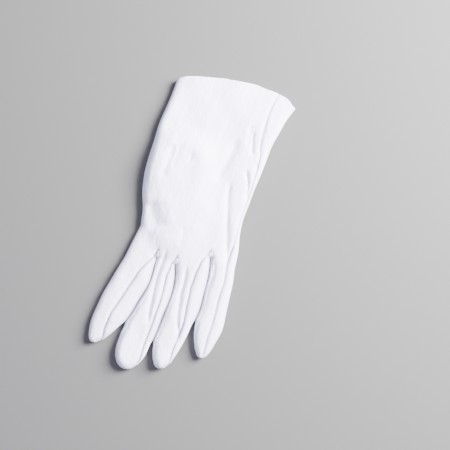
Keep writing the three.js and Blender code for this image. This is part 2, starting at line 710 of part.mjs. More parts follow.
function addCloth(name, geometry) {
  const mesh = new THREE.Mesh(geometry, new THREE.MeshStandardMaterial(COTTON));
  mesh.name = name;
  group.add(mesh);
}

addCloth('back_panel', panelWall('back'));
addCloth('palm_panel', toGeometry(palm));
CROTCHES.forEach((crotch, i) => addCloth(crotch.name, fourchetteWall(i)));
addCloth('thumb', toGeometry(thumb));

const middle = new THREE.Box3().setFromObject(group).getCenter(new THREE.Vector3());
group.position.set(-middle.x, -middle.y, 0);

export default group;
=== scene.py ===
"""A white knitted-cotton parade glove, lying back up, with its seams, folds and knit."""
import math

import bmesh
import bpy
import numpy as np
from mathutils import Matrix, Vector


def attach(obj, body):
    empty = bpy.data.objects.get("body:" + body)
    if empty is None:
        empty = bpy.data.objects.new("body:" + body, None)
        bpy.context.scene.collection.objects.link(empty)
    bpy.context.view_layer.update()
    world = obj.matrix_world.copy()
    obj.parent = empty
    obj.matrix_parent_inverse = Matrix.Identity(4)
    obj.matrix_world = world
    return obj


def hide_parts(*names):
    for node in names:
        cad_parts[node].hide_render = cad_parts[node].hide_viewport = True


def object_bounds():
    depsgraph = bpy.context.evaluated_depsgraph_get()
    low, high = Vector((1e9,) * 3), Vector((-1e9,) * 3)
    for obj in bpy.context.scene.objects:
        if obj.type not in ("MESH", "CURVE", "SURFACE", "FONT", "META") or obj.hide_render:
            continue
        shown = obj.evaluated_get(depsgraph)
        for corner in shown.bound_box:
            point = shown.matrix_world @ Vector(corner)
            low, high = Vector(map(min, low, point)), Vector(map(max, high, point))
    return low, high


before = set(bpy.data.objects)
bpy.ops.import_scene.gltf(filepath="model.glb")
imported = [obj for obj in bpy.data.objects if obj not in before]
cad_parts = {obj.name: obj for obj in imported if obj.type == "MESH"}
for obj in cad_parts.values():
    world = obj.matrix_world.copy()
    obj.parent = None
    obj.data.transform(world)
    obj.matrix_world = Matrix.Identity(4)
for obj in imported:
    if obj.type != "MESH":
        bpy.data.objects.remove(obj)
CAD_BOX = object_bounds()

bl_info = {
    "name": "Parade glove",
    "version": (1, 0, 0),
    "blender": (4, 5, 0),
    "location": "View3D > Sidebar > Glove",
    "description": "Builds a white cotton parade glove lying back up",
    "category": "Add Mesh",
}

DEGREES = math.pi / 180
MM = 0.001


class GloveSizes(bpy.types.PropertyGroup):
    """The cut of the glove, as in the solids"""
    palm_length: bpy.props.FloatProperty(
        name="Palm length", description="From the cuff to the crotches of the fingers",
        default=0.160, unit="LENGTH")
    cuff_width: bpy.props.FloatProperty(
        name="Cuff width", description="Across the cuff, lying flat", default=0.097, unit="LENGTH")
    wrist_width: bpy.props.FloatProperty(
        name="Wrist width", description="Across the wrist, lying flat", default=0.088, unit="LENGTH")
    knuckle_width: bpy.props.FloatProperty(
        name="Knuckle width", description="Across the knuckles, lying flat", default=0.082, unit="LENGTH")
    cuff_bow: bpy.props.FloatProperty(
        name="Cuff bow", description="How far the cuff's edge bows out", default=0.0098, unit="LENGTH")
    cuff_slant: bpy.props.FloatProperty(
        name="Cuff slant", description="How much lower the thumb's corner of the cuff is",
        default=0.0061, unit="LENGTH")
    finger_clearance: bpy.props.FloatProperty(
        name="Finger clearance", description="Gap between two fingers at the crotch",
        default=0.0016, unit="LENGTH")
    fourchette_point: bpy.props.FloatProperty(
        name="Fourchette point", description="How far the strips between the fingers reach onto the hand",
        default=0.009, unit="LENGTH")


class GloveCloth(bpy.types.PropertyGroup):
    """The cloth and how it lies"""
    thickness: bpy.props.FloatProperty(
        name="Cloth thickness", description="Thickness of the knit", default=0.0007, unit="LENGTH")
    cuff_height: bpy.props.FloatProperty(
        name="Cuff height", description="Height of the puffed cuff", default=0.0094, unit="LENGTH")
    hand_height: bpy.props.FloatProperty(
        name="Hand height", description="Height of the puffed hand", default=0.0104, unit="LENGTH")
    finger_height: bpy.props.FloatProperty(
        name="Finger height", description="Height of the puffed fingers", default=0.0092, unit="LENGTH")
    edge_height: bpy.props.FloatProperty(
        name="Edge height", description="Height of the widest line of the glove's edge",
        default=0.0037, unit="LENGTH")
    groove: bpy.props.FloatProperty(
        name="Seam groove", description="Depth of the groove that a seam draws in",
        default=0.0024, unit="LENGTH")
    hem: bpy.props.FloatProperty(
        name="Hem", description="Width of the cloth turned in at the cuff", default=0.014, unit="LENGTH")
    white: bpy.props.FloatVectorProperty(
        name="Cotton", description="Colour of the bleached cotton", default=(0.84, 0.82, 0.94),
        size=3, subtype="COLOR", min=0, max=1)
    wale: bpy.props.FloatProperty(
        name="Wale", description="Width of one column of knit loops", default=0.00062, unit="LENGTH")


class GloveStage(bpy.types.PropertyGroup):
    """The floor, the lights and the camera"""
    floor: bpy.props.FloatVectorProperty(
        name="Floor", description="Colour of the floor", default=(0.094, 0.092, 0.084),
        size=3, subtype="COLOR", min=0, max=1)
    lens: bpy.props.FloatProperty(
        name="Lens", description="Focal length in millimetres", default=85)
    view_width: bpy.props.FloatProperty(
        name="View width", description="Width of the floor in view", default=0.369, unit="LENGTH")


# Sides of the hand from the cuff to the knuckles, as shares of the width that each row follows
HAND_SIDES = {
    "along": [0.00, 0.12, 0.25, 0.45, 0.60, 0.75, 0.88, 1.00],
    "of": ["cuff_width"] * 2 + ["wrist_width"] * 3 + ["knuckle_width"] * 3,
    "thumb_side": [0.488, 0.496, 0.564, 0.570, 0.564, 0.571, 0.508, 0.470],
    "little_side": [0.538, 0.491, 0.502, 0.485, 0.464, 0.487, 0.498, 0.530],
}

# Ends of the hand's sides and the crotches, as shares of the knuckle width: across from the middle
# towards the thumb, and ahead of the palm's length
KNUCKLES = [(0.470, -0.262), (0.2195, -0.002), (0.0195, 0.011), (-0.293, -0.159), (-0.530, -0.335)]

# Fingers: length and width in metres, root as shares of the knuckle width, lean in degrees, where the
# round end starts, set-in of the far top seam and half widths as shares of the width
ALONG = [0.15, 0.3, 0.5, 0.7, 0.85, 1]
FINGERS = [
    dict(length=0.087, width=0.0278, across=0.370, ahead=-0.043, lean=11.7, round_from=0.55, top_seam=0.50,
         thumb_side=[0.39, 0.39, 0.40, 0.395, 0.40, 0.40],
         little_side=[0.52, 0.58, 0.60, 0.56, 0.49, 0.44]),
    dict(length=0.096, width=0.0268, across=0.121, ahead=-0.018, lean=3.4, round_from=0.8, top_seam=0.32,
         thumb_side=[0.21, 0.20, 0.36, 0.475, 0.49, 0.50],
         little_side=[0.40, 0.47, 0.49, 0.48, 0.46, 0.45]),
    dict(length=0.0915, width=0.024, across=-0.137, ahead=-0.071, lean=0.1, round_from=0.7, top_seam=0.46,
         thumb_side=[0.37, 0.27, 0.32, 0.39, 0.44, 0.44],
         little_side=[0.62, 0.66, 0.65, 0.55, 0.50, 0.50]),
    dict(length=0.0815, width=0.022, across=-0.437, ahead=-0.177, lean=-4, round_from=0.6, top_seam=0.30,
         thumb_side=[0.40, 0.37, 0.42, 0.49, 0.49, 0.48],
         little_side=[0.49, 0.51, 0.54, 0.53, 0.48, 0.46]),
]

# How the seams beside a finger run out at its root and near its tip, as shares of their set-in
SEAM_RUN_ALONG = [0, 0.05, 0.1, 0.2, 0.3, 0.45, 0.58, 0.7, 0.85, 0.94, 0.97, 1]
SEAM_RUN_SHARE = [0, 0.22, 0.45, 0.85, 1, 1, 1, 1, 0.6, 0.1, 0, 0]

# The same for the far seam on top of the index, middle and ring fingers
TOP_SEAM_RUN = [
    [0, 0.10, 0.17, 0.50, 0.76, 0.90, 0.97, 1.00, 0.68, 0.1, 0, 0],
    [0, 0.30, 0.60, 1.10, 1.06, 0.83, 0.68, 0.60, 0.40, 0.1, 0, 0],
    [0, 0.30, 0.58, 0.90, 1.03, 0.92, 0.70, 0.60, 0.45, 0.1, 0, 0],
]

# Where the side seam lies on the back, as shares of its set-in, from the cuff at 0 past the knuckles
# at 1 to the little finger's tip at 2
SIDE_SEAM_ALONG = [0, 0.11, 0.36, 0.47, 0.57, 0.7, 0.82, 0.9, 1, 1.1, 1.25, 1.5, 1.75, 2]
SIDE_SEAM_SHARE = [2.6, 2.3, 1.05, 0.7, 0.46, 0.35, 0.32, 0.42, 0.88, 1.13, 1.27, 1.48, 1.42, 1.3]

CROTCH_AT = 0.1
FOURCHETTE_END = SEAM_RUN_ALONG[-2]
SIDE_SEAM_UNDER = 5 * MM
SIDE_SEAM_OVER = 6.5 * MM
NEAR_SEAM_TOP = 2.6 * MM
NEAR_SEAM_UNDER = 5 * MM
FAR_SEAM_UNDER = 2.6 * MM
BACK_ROUNDING = 6.5 * MM
PALM_ROUNDING = 3.8 * MM
SEAM_GAP = 0.06 * MM

# How wide the painted shade of a seam and of a gap between fingers is, how wide a seam's groove is
# and how far its puckers reach
SEAM_SHADE = 0.8 * MM
GAP_SHADE = 1.5 * MM
GROOVE_WIDTH = 1.1 * MM
PUCKER_REACH = 3.5 * MM

# The thumb below the palm
THUMB_LENGTH = 77 * MM
THUMB_WIDTH = 28 * MM
THUMB_HEIGHT = 6.8 * MM
THUMB_ROUNDING = 3.2 * MM
THUMB_RIM = 0.42
THUMB_SEAM_AT = 0.62
THUMB_SEAM_DEPTH = 0.8 * MM
THUMB_SEAM_SHADE = 0.35
THUMB_LEAN = 15
THUMB_BASE = (27.5 * MM, -95 * MM)
THUMB_HOLE_LENGTH = 32 * MM
THUMB_HOLE_WIDTH = 17 * MM
THUMB_HOLE_START = 6 * MM
THUMB_MARGIN = 2.5 * MM
THUMB_DRAPE = 8 * MM
BACK_DRAPE = 20 * MM
PALM_CLEAR = 0.5 * MM

# Where two neighbouring fingers part, as shares of the palm length ahead of the cuff, the half gap
# that is left where they touch, how far into a finger the pull reaches, and over what length it
# sets in at the crotch and ends where they part
PARTING = [1.363, 1.409, 1.246]
TOUCH = 0.12 * MM
TOUCH_REACH = 7 * MM
TOUCH_START = 1.5 * MM
TOUCH_END = 6 * MM

# How far the rim of the cuff bows out beyond the straight runs of the solids, from the thumb's
# corner at 0 to the little finger's at 1
RIM_ACROSS = [0, 0.06, 0.145, 0.25, 0.39, 0.45, 0.65, 0.763, 0.87, 0.95, 1]
RIM_BOW = [0.3, 2.1, 1.9, 0.6, 1.1, 0.5, 3.0, 2.6, 4.3, 3.9, 1.4]
RIM_FADE = 45 * MM

# Sewing: the cloth turned in behind each seam, in two steps, the height above which the palm and
# the thumb are cut open for each other, and what the weld joins and drops
ALLOWANCE = (0.5 * MM, 0.7 * MM)
PALM_CUT_ABOVE = 5 * MM
THUMB_CUT_ABOVE = 4 * MM
WELD = 0.004 * MM
LEAST_EDGE = 0.002 * MM

# Fineness of the cloth: rows, and cells across; END_ROWS are the rows of a strip's pointed end
HAND_ROWS = 120
FINGER_ROWS = 100
END_ROWS = 7
RIM_CELLS = 10
FOURCHETTE_CELLS = 12
THUMB_ROWS = 90
THUMB_SIDES = 72
CELLS = {"back": [30, 48, 50, 34], "palm": [22, 22, 22, 18]}

# Folds of the back: points as shares of the knuckle width across and of the palm's length ahead
# of the cuff, then width and height in millimetres, a valley below nought, and how sharp its
# bottom is, from 1 for a crease to 2 for a soft roll
FOLDS = [
    ([(-0.185, 0.285), (-0.157, 0.408), (-0.102, 0.536)], 4.0, -1.9, 1.7),
    ([(-0.280, 0.200), (-0.300, 0.262), (-0.310, 0.310)], 2.6, -1.2, 1.6),
    ([(-0.318, 0.228), (-0.342, 0.290), (-0.366, 0.356)], 1.6, -2.6, 1.2),
    ([(-0.424, 0.380), (-0.440, 0.400), (-0.458, 0.417)], 1.6, -1.0, 1.4),
    ([(-0.384, 0.138), (-0.420, 0.230), (-0.437, 0.333)], 1.2, -0.8, 1.2),
    ([(0.396, 0.414), (0.402, 0.510), (0.409, 0.600)], 3.2, -1.5, 1.6),
    ([(0.330, 0.400), (0.338, 0.470), (0.352, 0.540)], 2.6, -0.8, 1.6),
    ([(0.208, 0.430), (0.200, 0.455), (0.195, 0.483)], 1.8, -0.9, 1.4),
    ([(-0.361, 0.425), (-0.425, 0.500), (-0.452, 0.585)], 1.2, -3.2, 1.1),
    ([(-0.232, 0.490), (-0.332, 0.700), (-0.488, 0.949)], 2.4, -2.2, 1.5),
    ([(0.461, 0.727), (0.377, 0.795), (0.293, 0.860)], 6.0, -1.9, 2),
    ([(0.305, 0.674), (0.250, 0.745), (0.194, 0.817)], 4.5, 0.8, 2),
    ([(0.060, 0.800), (0.040, 0.850), (0.030, 0.905)], 2.2, -0.8, 1.6),
    ([(0.143, 0.930), (0.151, 1.040), (0.148, 1.141),
      (0.124, 1.256), (0.092, 1.343)], 1.7, -3.0, 1.4),
    ([(0.204, 1.166), (0.232, 1.300), (0.256, 1.447)], 2.6, 0.7, 2),
    ([(-0.096, 0.983), (-0.114, 1.064), (-0.130, 1.150),
      (-0.176, 1.275), (-0.264, 1.389)], 1.7, -2.8, 1.4),
    ([(-0.355, 0.920), (-0.385, 1.005), (-0.366, 1.095)], 1.2, -1.6, 1.2),
]
FOLD_TAPER = 0.22

# The picture's directions on the floor, the middle of the view and the mean height of the glove
PICTURE_RIGHT = np.array([-0.951, -0.309, 0])
PICTURE_UP = np.array([0.309, -0.951, 0])
VIEW_MIDDLE = (-0.0277, -0.0122)
VIEW_HEIGHT = 0.006
SENSOR_WIDTH = 36

# Lights: place along the picture's right and up and above the floor, size, in metres, and power
LIGHTS = [("key", 0.62, 0.30, 0.50, 0.45, 100), ("fill", -0.5, -0.1, 1.0, 1.0, 8)]
LIGHT_COLOUR = (0.94, 0.93, 1.0)
SKY_COLOUR = (0.62, 0.60, 1.0, 1)


def settings(group):
    return getattr(bpy.context.scene, group)


def smooth(t):
    c = np.clip(t, 0, 1)
    return c * c * (3 - 2 * c)


def mix(a, b, t):
    return a + (b - a) * t


def curve(at, value, t):
    """A smooth curve through (at, value), with the slopes of its neighbours' chords."""
    at, value, t = np.asarray(at, float), np.asarray(value, float), np.asarray(t, float)
    i = np.clip(np.searchsorted(at, t, side="left") - 1, 0, len(at) - 2)
    low, high = np.maximum(np.arange(len(at)) - 1, 0), np.minimum(np.arange(len(at)) + 1, len(at) - 1)
    slope = (value[high] - value[low]) / (at[high] - at[low])
    step = at[i + 1] - at[i]
    u = (t - at[i]) / step
    h00, h01 = (1 + 2 * u) * (1 - u) ** 2, u * u * (3 - 2 * u)
    bend = u * (1 - u) * step * ((1 - u) * slope[i] - u * slope[i + 1])
    return h00 * value[i] + h01 * value[i + 1] + bend


def knuckle(place, back=0.0):
    size = settings("glove_sizes")
    return np.array([place[0] * size.knuckle_width,
                     size.palm_length + place[1] * size.knuckle_width - back])


def knuckle_row():
    point = settings("glove_sizes").fourchette_point
    return [knuckle(place, point if 0 < i < 4 else 0) for i, place in enumerate(KNUCKLES)]


def hand_side(side, along):
    size = settings("glove_sizes")
    reach = [share * getattr(size, of) for share, of in zip(HAND_SIDES[side], HAND_SIDES["of"])]
    return curve(HAND_SIDES["along"], reach, along)


def hand_point(i, along):
    """Point i of the row at this share from the cuff to the knuckles; 0 and 4 are the hand's edges."""
    size = settings("glove_sizes")
    row = knuckle_row()
    u = (row[0][0] - row[i][0]) / (row[0][0] - row[4][0])
    x = mix(hand_side("thumb_side", along), -hand_side("little_side", along), u)
    cuff = size.cuff_bow + size.cuff_slant * (1 - u) - 4 * size.cuff_bow * u * (1 - u)
    return np.stack([x, mix(cuff, row[i][1], along)], axis=-1)


def finger_point(finger, along, lateral):
    lean = finger["lean"] * DEGREES
    root = knuckle((finger["across"], finger["ahead"]))
    ahead = along * finger["length"]
    return np.stack([root[0] + ahead * math.sin(lean) + lateral * math.cos(lean),
                     root[1] + ahead * math.cos(lean) - lateral * math.sin(lean)], axis=-1)


def along_finger(finger, point):
    lean = finger["lean"] * DEGREES
    x, y = point - knuckle((finger["across"], finger["ahead"]))
    return ((x * math.sin(lean) + y * math.cos(lean)) / finger["length"],
            x * math.cos(lean) - y * math.sin(lean))


def finger_edge(i, side, along):
    """The edge of finger i on one side, from its start on the knuckle row (0) to its tip (1)."""
    finger = FINGERS[i]
    along = np.asarray(along, float)
    sign, node = (1, i) if side == "thumb_side" else (-1, i + 1)
    start = knuckle_row()[node]
    reach = [sign * share * finger["width"] for share in finger[side]]
    if node in (0, 4):
        foot, lateral = along_finger(finger, start)
        at = mix(foot, 1, along)
    else:
        crotch = knuckle(KNUCKLES[node])
        crotch[0] -= sign * settings("glove_sizes").finger_clearance / 2
        foot, lateral = along_finger(finger, crotch)
        at = mix(foot, 1, np.clip((along - CROTCH_AT) / (1 - CROTCH_AT), 0, 1))
    cap = np.clip((at - finger["round_from"]) / (1 - finger["round_from"]), 0, 1)
    edge = finger_point(finger, at, curve([foot, *ALONG], [lateral, *reach], at) * np.sqrt(1 - cap * cap))
    if node not in (0, 4):
        below = start + (crotch - start) * np.clip(along / CROTCH_AT, 0, 1)[..., None]
        edge = np.where((along <= CROTCH_AT)[..., None], below, edge)
    return edge


def outline():
    """The plan of the hand and fingers, open at the cuff."""
    even = np.linspace(0, 1, 121)
    swept = np.sin(np.linspace(0, math.pi / 2, 121))
    parts = [hand_point(0, even)]
    for i in range(4):
        first, last = (0 if i == 0 else CROTCH_AT), (0 if i == 3 else CROTCH_AT)
        parts.append(finger_edge(i, "thumb_side", mix(first, 1, swept)))
        parts.append(finger_edge(i, "little_side", mix(last, 1, swept[::-1])))
    parts.append(hand_point(4, even[::-1]))
    points = np.concatenate(parts)
    ends = points[[0, -1]].copy()
    ends[:, 1] = -settings("glove_sizes").palm_length
    return np.concatenate([ends[:1], points, ends[1:]])


def nearest(line, p, where=False, block=4000):
    """Distance from each point to a run of points and, if asked for, at what share of the run."""
    a, b = line[:-1], line[1:]
    keep = np.linalg.norm(b - a, axis=1) > 1e-9
    a, b = a[keep], b[keep]
    run = b - a
    length2 = (run ** 2).sum(1)
    distance, share = np.empty(len(p)), np.empty(len(p))
    for k in range(0, len(p), block):
        x, y = (p[k:k + block, None, axis] - a[:, axis] for axis in (0, 1))
        t = np.clip((x * run[:, 0] + y * run[:, 1]) / length2, 0, 1)
        square = (x - t * run[:, 0]) ** 2 + (y - t * run[:, 1]) ** 2
        least = square.argmin(1)[:, None]
        distance[k:k + block] = np.sqrt(np.take_along_axis(square, least, 1))[:, 0]
        share[k:k + block] = (least + np.take_along_axis(t, least, 1))[:, 0] / len(a)
    return (distance, share) if where else distance


def thumb_point(ahead, lateral):
    lean = THUMB_LEAN * DEGREES
    base_y = settings("glove_sizes").palm_length + THUMB_BASE[1]
    return np.stack([THUMB_BASE[0] - ahead * math.sin(lean) + lateral * math.cos(lean),
                     base_y + ahead * math.cos(lean) + lateral * math.sin(lean)], axis=-1)


def thumb_half(along):
    """Half width of the thumb at a share of its length, with round ends."""
    full = curve([0, 0.3, 0.65, 1], [1, 1, 0.9, 0.78], along) * THUMB_WIDTH / 2
    end = np.minimum(along, 1 - along) * THUMB_LENGTH
    t = np.clip(1 - end / full, 0, 1)
    return full * np.sqrt(1 - t * t)


def thumb_outline():
    along = (1 - np.cos(np.linspace(0, math.pi, 90))) / 2
    right = thumb_point(along * THUMB_LENGTH, thumb_half(along))
    left = thumb_point(along * THUMB_LENGTH, -thumb_half(along))
    return np.concatenate([right, left[::-1]])


def beyond_thumb(p):
    distance = nearest(thumb_outline(), p)
    lean = THUMB_LEAN * DEGREES
    x = p[:, 0] - THUMB_BASE[0]
    y = p[:, 1] - settings("glove_sizes").palm_length - THUMB_BASE[1]
    ahead = -x * math.sin(lean) + y * math.cos(lean)
    lateral = x * math.cos(lean) + y * math.sin(lean)
    share = np.clip(ahead / THUMB_LENGTH, 0, 1)
    inside = (ahead > 0) & (ahead < THUMB_LENGTH) & (np.abs(lateral) < thumb_half(share))
    return np.where(inside, 0, distance)


def waves(p, seed, scale, stretch=1.0, turn=0.0, count=14):
    """Smooth unevenness of about one unit: waves of chance directions, drawn out along one of them."""
    chance = np.random.default_rng(seed)
    total = np.zeros(len(p))
    c, s = math.cos(turn), math.sin(turn)
    q = np.stack([(p[:, 0] * c + p[:, 1] * s), (-p[:, 0] * s + p[:, 1] * c) / stretch], axis=1) / scale
    for _ in range(count):
        angle, phase = chance.uniform(0, 2 * math.pi, 2)
        pitch = 2 * math.pi * chance.uniform(0.55, 1.5)
        total += np.sin(pitch * (q[:, 0] * math.cos(angle) + q[:, 1] * math.sin(angle)) + phase)
    return total * math.sqrt(2 / count)


def bent_line(points):
    size = settings("glove_sizes")
    places = np.array(points) * [size.knuckle_width, size.palm_length]
    at, t = np.linspace(0, 1, len(points)), np.linspace(0, 1, 4 * len(points))
    return np.stack([curve(at, places[:, axis], t) for axis in (0, 1)], axis=-1)


def folds_at(p):
    valley, ridge = np.zeros(len(p)), np.zeros(len(p))
    for points, width, height, sharpness in FOLDS:
        distance, share = nearest(bent_line(points), p, where=True)
        taper = smooth(share / FOLD_TAPER + 0.15) * smooth((1 - share) / FOLD_TAPER + 0.15)
        rise = height * MM * taper * np.exp(-(distance / (width * MM)) ** sharpness)
        valley, ridge = np.minimum(valley, rise), np.maximum(ridge, rise)
    return valley + ridge


def back_height(p):
    size, cloth = settings("glove_sizes"), settings("glove_cloth")
    share = p[:, 1] / size.palm_length
    lower = mix(cloth.cuff_height, cloth.hand_height, smooth(share * 2))
    upper = mix(cloth.hand_height, cloth.finger_height, smooth(share * 2 - 1))
    over = (THUMB_HEIGHT + PALM_CLEAR) * 0.62 * (1 - smooth(beyond_thumb(p) / BACK_DRAPE))
    broad = 0.45 * MM * waves(p, 3, 34 * MM, stretch=1.5)
    drawn = 0.10 * MM * waves(p, 5, 9 * MM, stretch=2.6, turn=0.12)
    fine = 0.05 * MM * waves(p, 8, 3.5 * MM, stretch=1.6)
    return np.where(share < 0.5, lower, upper) + over + folds_at(p) + broad + drawn + fine


def palm_height(p):
    raised = (THUMB_HEIGHT + PALM_CLEAR) * (1 - smooth((beyond_thumb(p) - THUMB_MARGIN) / THUMB_DRAPE))
    hollow = np.maximum(0, 0.28 * MM * waves(p, 11, 18 * MM) - 0.1 * MM)
    return raised + hollow + 0.03 * MM


def lateral_shares(cells):
    """Even steps across a strip, closer at its two ends."""
    t = np.linspace(0, 1, cells + 1)
    return mix(t, (1 - np.cos(math.pi * t)) / 2, 0.6)


class Piece:
    """Points and faces of one piece of cloth, gathered from grids whose rows run along it"""

    def __init__(self):
        self.places, self.uvs, self.faces, self.count = [], [], [], 0
        # hem marks the cloth turned in at the cuff and the strips' pointed ends; seam holds painted shade
        # along the seams and in the gaps between fingers
        self.marks = {"hem": [], "seam": []}

    def add(self, place, uv, turned=False, **marks):
        rows, cols = place.shape[:2]
        number = np.arange(rows * cols).reshape(rows, cols) + self.count
        corners = [number[:-1, :-1], number[:-1, 1:], number[1:, 1:], number[1:, :-1]]
        faces = np.stack(corners, axis=-1).reshape(-1, 4)
        self.faces.append(faces[:, ::-1] if turned else faces)
        self.places.append(place.reshape(-1, 3))
        self.uvs.append(uv.reshape(-1, 2))
        for name, values in self.marks.items():
            values.append(np.reshape(marks.get(name, np.zeros(rows * cols)), -1))
        self.count += rows * cols

    def mesh(self, name):
        mesh = bpy.data.meshes.new(name)
        faces = np.concatenate(self.faces)
        mesh.from_pydata(np.concatenate(self.places).tolist(), [], faces.tolist())
        layer = mesh.uv_layers.new(name="cloth")
        layer.data.foreach_set("uv", np.concatenate(self.uvs)[faces.reshape(-1)].reshape(-1))
        for mark, values in self.marks.items():
            layer = mesh.attributes.new(mark, "FLOAT", "POINT")
            layer.data.foreach_set("value", np.concatenate(values))
        return mesh


def middle():
    """The middle of the lying glove in plan, as the solids are centred."""
    low, high = CAD_BOX
    line = outline()[1:-1]
    return np.array([(line[:, 0].min() + line[:, 0].max()) / 2 - (low[0] + high[0]) / 2,
                     line[:, 1].max() - high[1]])


def far_inset(sheet, i, along, narrow):
    """How far the far seam of finger i stands in from its edge."""
    if sheet == "palm":
        return FAR_SEAM_UNDER * run_out(along) * narrow
    finger = FINGERS[i]
    return finger["top_seam"] * finger["width"] * np.interp(along, SEAM_RUN_ALONG, TOP_SEAM_RUN[i]) * narrow


def strip(panel, i, p, q, along, share, on_finger):
    """Plan points of one strip for all its rows, whether each lies on the back, and on the edge."""
    finger = FINGERS[i]
    width = np.linalg.norm(q - p, axis=1)
    narrow = np.minimum(1, width / finger["width"])
    back = panel == "back"
    near = NEAR_SEAM_TOP if back else NEAR_SEAM_UNDER
    start = near * run_out(along) if on_finger and i > 0 else np.zeros_like(width)
    end = far_inset(panel, i, along, narrow) if on_finger and i < 3 else np.zeros_like(width)
    rim = 1 - np.cos(np.linspace(0, math.pi / 2, RIM_CELLS + 1))
    over = np.minimum(BACK_ROUNDING, width * 0.4) * np.minimum(1, narrow * 1.5)
    even = lateral_shares(CELLS[panel][i])

    def across(low, high):
        return low[:, None] + (width - high - low)[:, None] * even

    if i == 0:
        under = SIDE_SEAM_UNDER * narrow
        if not back:
            at = across(under + SEAM_GAP, end)
            sheet = np.zeros(at.shape[1], bool)
        else:
            below, above = under[:, None] * rim[:0:-1], over[:, None] * rim
            at = np.hstack([below, above, across(over, end)[:, 1:]])
            sheet = np.arange(at.shape[1]) >= below.shape[1]
        flat = np.zeros(at.shape, bool)
        if back:
            flat[:, below.shape[1]] = True
    elif i == 3:
        seam = share * SIDE_SEAM_OVER * narrow
        if back:
            at = across(start, seam + SEAM_GAP)
            sheet = np.ones(at.shape[1], bool)
            flat = np.zeros(at.shape, bool)
        else:
            under = np.minimum(PALM_ROUNDING, width * 0.3) * np.minimum(1, narrow * 1.5)
            below = width[:, None] - under[:, None] * rim[:0:-1]
            first = np.minimum(seam, BACK_ROUNDING)
            above = width[:, None] - first[:, None] * rim
            beyond = width[:, None] - (first[:, None] + (seam - first)[:, None] * np.linspace(0, 1, 8)[1:])
            at = np.hstack([across(start, under)[:, :-1], below, above, beyond])
            turn = at.shape[1] - beyond.shape[1] - above.shape[1]
            sheet = np.arange(at.shape[1]) >= turn
            flat = np.zeros(at.shape, bool)
            flat[:, turn] = True
    else:
        at = across(start, end)
        sheet = np.full(at.shape[1], back)
        flat = np.zeros(at.shape, bool)
    if on_finger and i > 0:
        flat[:, 0] |= start <= 0
    if on_finger and i < 3:
        flat[:, -1] |= end <= 0
    length = np.maximum(width, 1e-9)[:, None, None]
    plan = p[:, None] + (q - p)[:, None] * at[..., None] / length
    return plan, np.broadcast_to(sheet, at.shape), flat


def pulled_together(p):
    """Moves plan points so that neighbouring fingers touch beyond their crotch and the rim bows out."""
    size = settings("glove_sizes")
    p = p.copy()
    share = np.linspace(CROTCH_AT, 0.9, 80)
    for i, parting in enumerate(PARTING):
        one, two = finger_edge(i, "little_side", share), finger_edge(i + 1, "thumb_side", share)
        left, right = (np.interp(p[:, 1], line[:, 1], line[:, 0]) for line in (one, two))
        half, off = (left - right) / 2, p[:, 0] - (left + right) / 2
        near = 1 - smooth((np.abs(off) - half) / TOUCH_REACH)
        start = knuckle(KNUCKLES[i + 1])[1]
        end = parting * size.palm_length - TOUCH_END / 3
        met = smooth((p[:, 1] - start) / TOUCH_START + 1) * (1 - smooth((p[:, 1] - end) / TOUCH_END))
        pull = np.maximum(0, half - TOUCH) * np.minimum(1, np.abs(off) / np.maximum(half, 1e-9))
        p[:, 0] -= np.sign(off) * pull * near * met
    across = (hand_side("thumb_side", 0) - p[:, 0]) / size.cuff_width
    bow = curve(RIM_ACROSS, RIM_BOW, np.clip(across, 0, 1)) * MM
    p[:, 1] -= bow * (1 - smooth(p[:, 1] / RIM_FADE))
    return p


def heights(plan, on_back, edge):
    """The outside of the cloth over plan points."""
    shape = plan.shape[:-1]
    p, back, rim = plan.reshape(-1, 2), on_back.reshape(-1), edge.reshape(-1)
    cloth = settings("glove_cloth")
    distance = nearest(outline(), p)
    d = np.where(rim, 0, distance)
    edge_height = cloth.edge_height + 0.35 * MM * waves(p, 21, 26 * MM)
    top = back_height(p) - groove_at(p, "back")
    low = np.maximum(palm_height(p) + 0.6 * groove_at(p, "palm"), 0)
    turn = np.clip(1 - d / np.where(back, BACK_ROUNDING, PALM_ROUNDING), 0, 1)
    part = np.sqrt(1 - turn * turn)
    z = edge_height + (np.where(back, top, low) - edge_height) * part
    sway = 0.18 * MM * np.stack([waves(p, 31, 30 * MM), waves(p, 32, 34 * MM)], axis=1)
    return np.column_stack([pulled_together(p) + sway - middle(), z]).reshape(*shape, 3)


def groove_at(p, sheet):
    """How deep the seams draw the cloth in, with the small puckers beside them."""
    cloth = settings("glove_cloth")
    depth, beside = np.zeros(len(p)), np.zeros(len(p))
    for line, pull, _, _ in seam_lines(sheet):
        distance = nearest(line, p)
        depth = np.maximum(depth, pull * np.exp(-(distance / GROOVE_WIDTH) ** 1.4))
        beside = np.maximum(beside, np.exp(-(distance / PUCKER_REACH) ** 2))
    pucker = 0.10 * MM * waves(p, 41, 3.2 * MM, count=6)
    plain = smooth(p[:, 1] / settings("glove_sizes").palm_length / 0.5)
    return (cloth.groove * depth + pucker * beside) * mix(0.35, 1, plain)


def painted_seam_shade(plan, sheet):
    """How much painted shade darkens the cloth along the seams and in the gaps between fingers, from 0 to
    1.
    """
    p = plan.reshape(-1, 2)
    mark = np.zeros(len(p))
    for line, _, shade, width in seam_lines(sheet):
        mark = np.maximum(mark, shade * np.exp(-(nearest(line, p) / width) ** 1.6))
    return mark.reshape(plan.shape[:-1])


def run_out(along):
    return np.interp(along, SEAM_RUN_ALONG, SEAM_RUN_SHARE)


